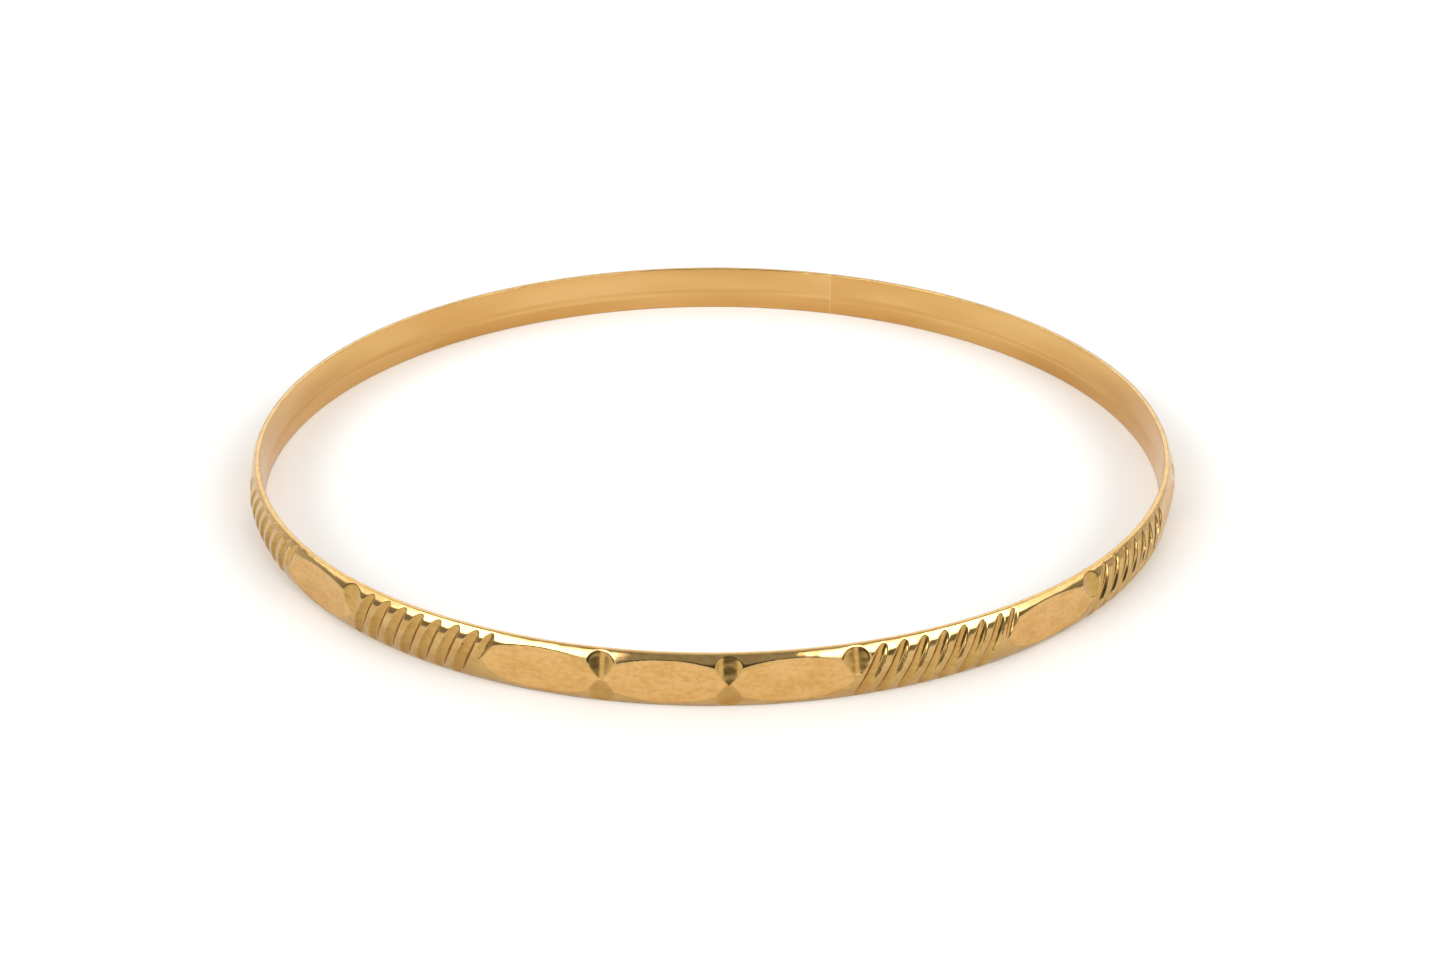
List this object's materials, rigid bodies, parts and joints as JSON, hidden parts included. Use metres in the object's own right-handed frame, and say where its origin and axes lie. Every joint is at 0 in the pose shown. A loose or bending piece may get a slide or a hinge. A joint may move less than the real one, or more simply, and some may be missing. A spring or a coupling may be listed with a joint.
{
  "type": "bangle bracelet",
  "caption": "Rigid round slip-on bangle with a thin domed band, diamond-cut outside with oval facets, scallops and slanted flutes.",
  "frame": {"origin": "on the ring's axis, in the plane of the lower rim", "axes": "+Z along the ring's axis towards the upper rim, -Y towards the front facet block, +X to the wearer's side at the right of the front"},
  "size_m": [0.0652, 0.0652, 0.0035],
  "materials": {
    "gold": "satin facets between polished flutes and shoulders",
    "gold_solder": "polished, slightly paler than the band"
  },
  "bodies": {
    "root": {"band": "gold", "solder_seam": "gold_solder"}
  },
  "joints": []
}
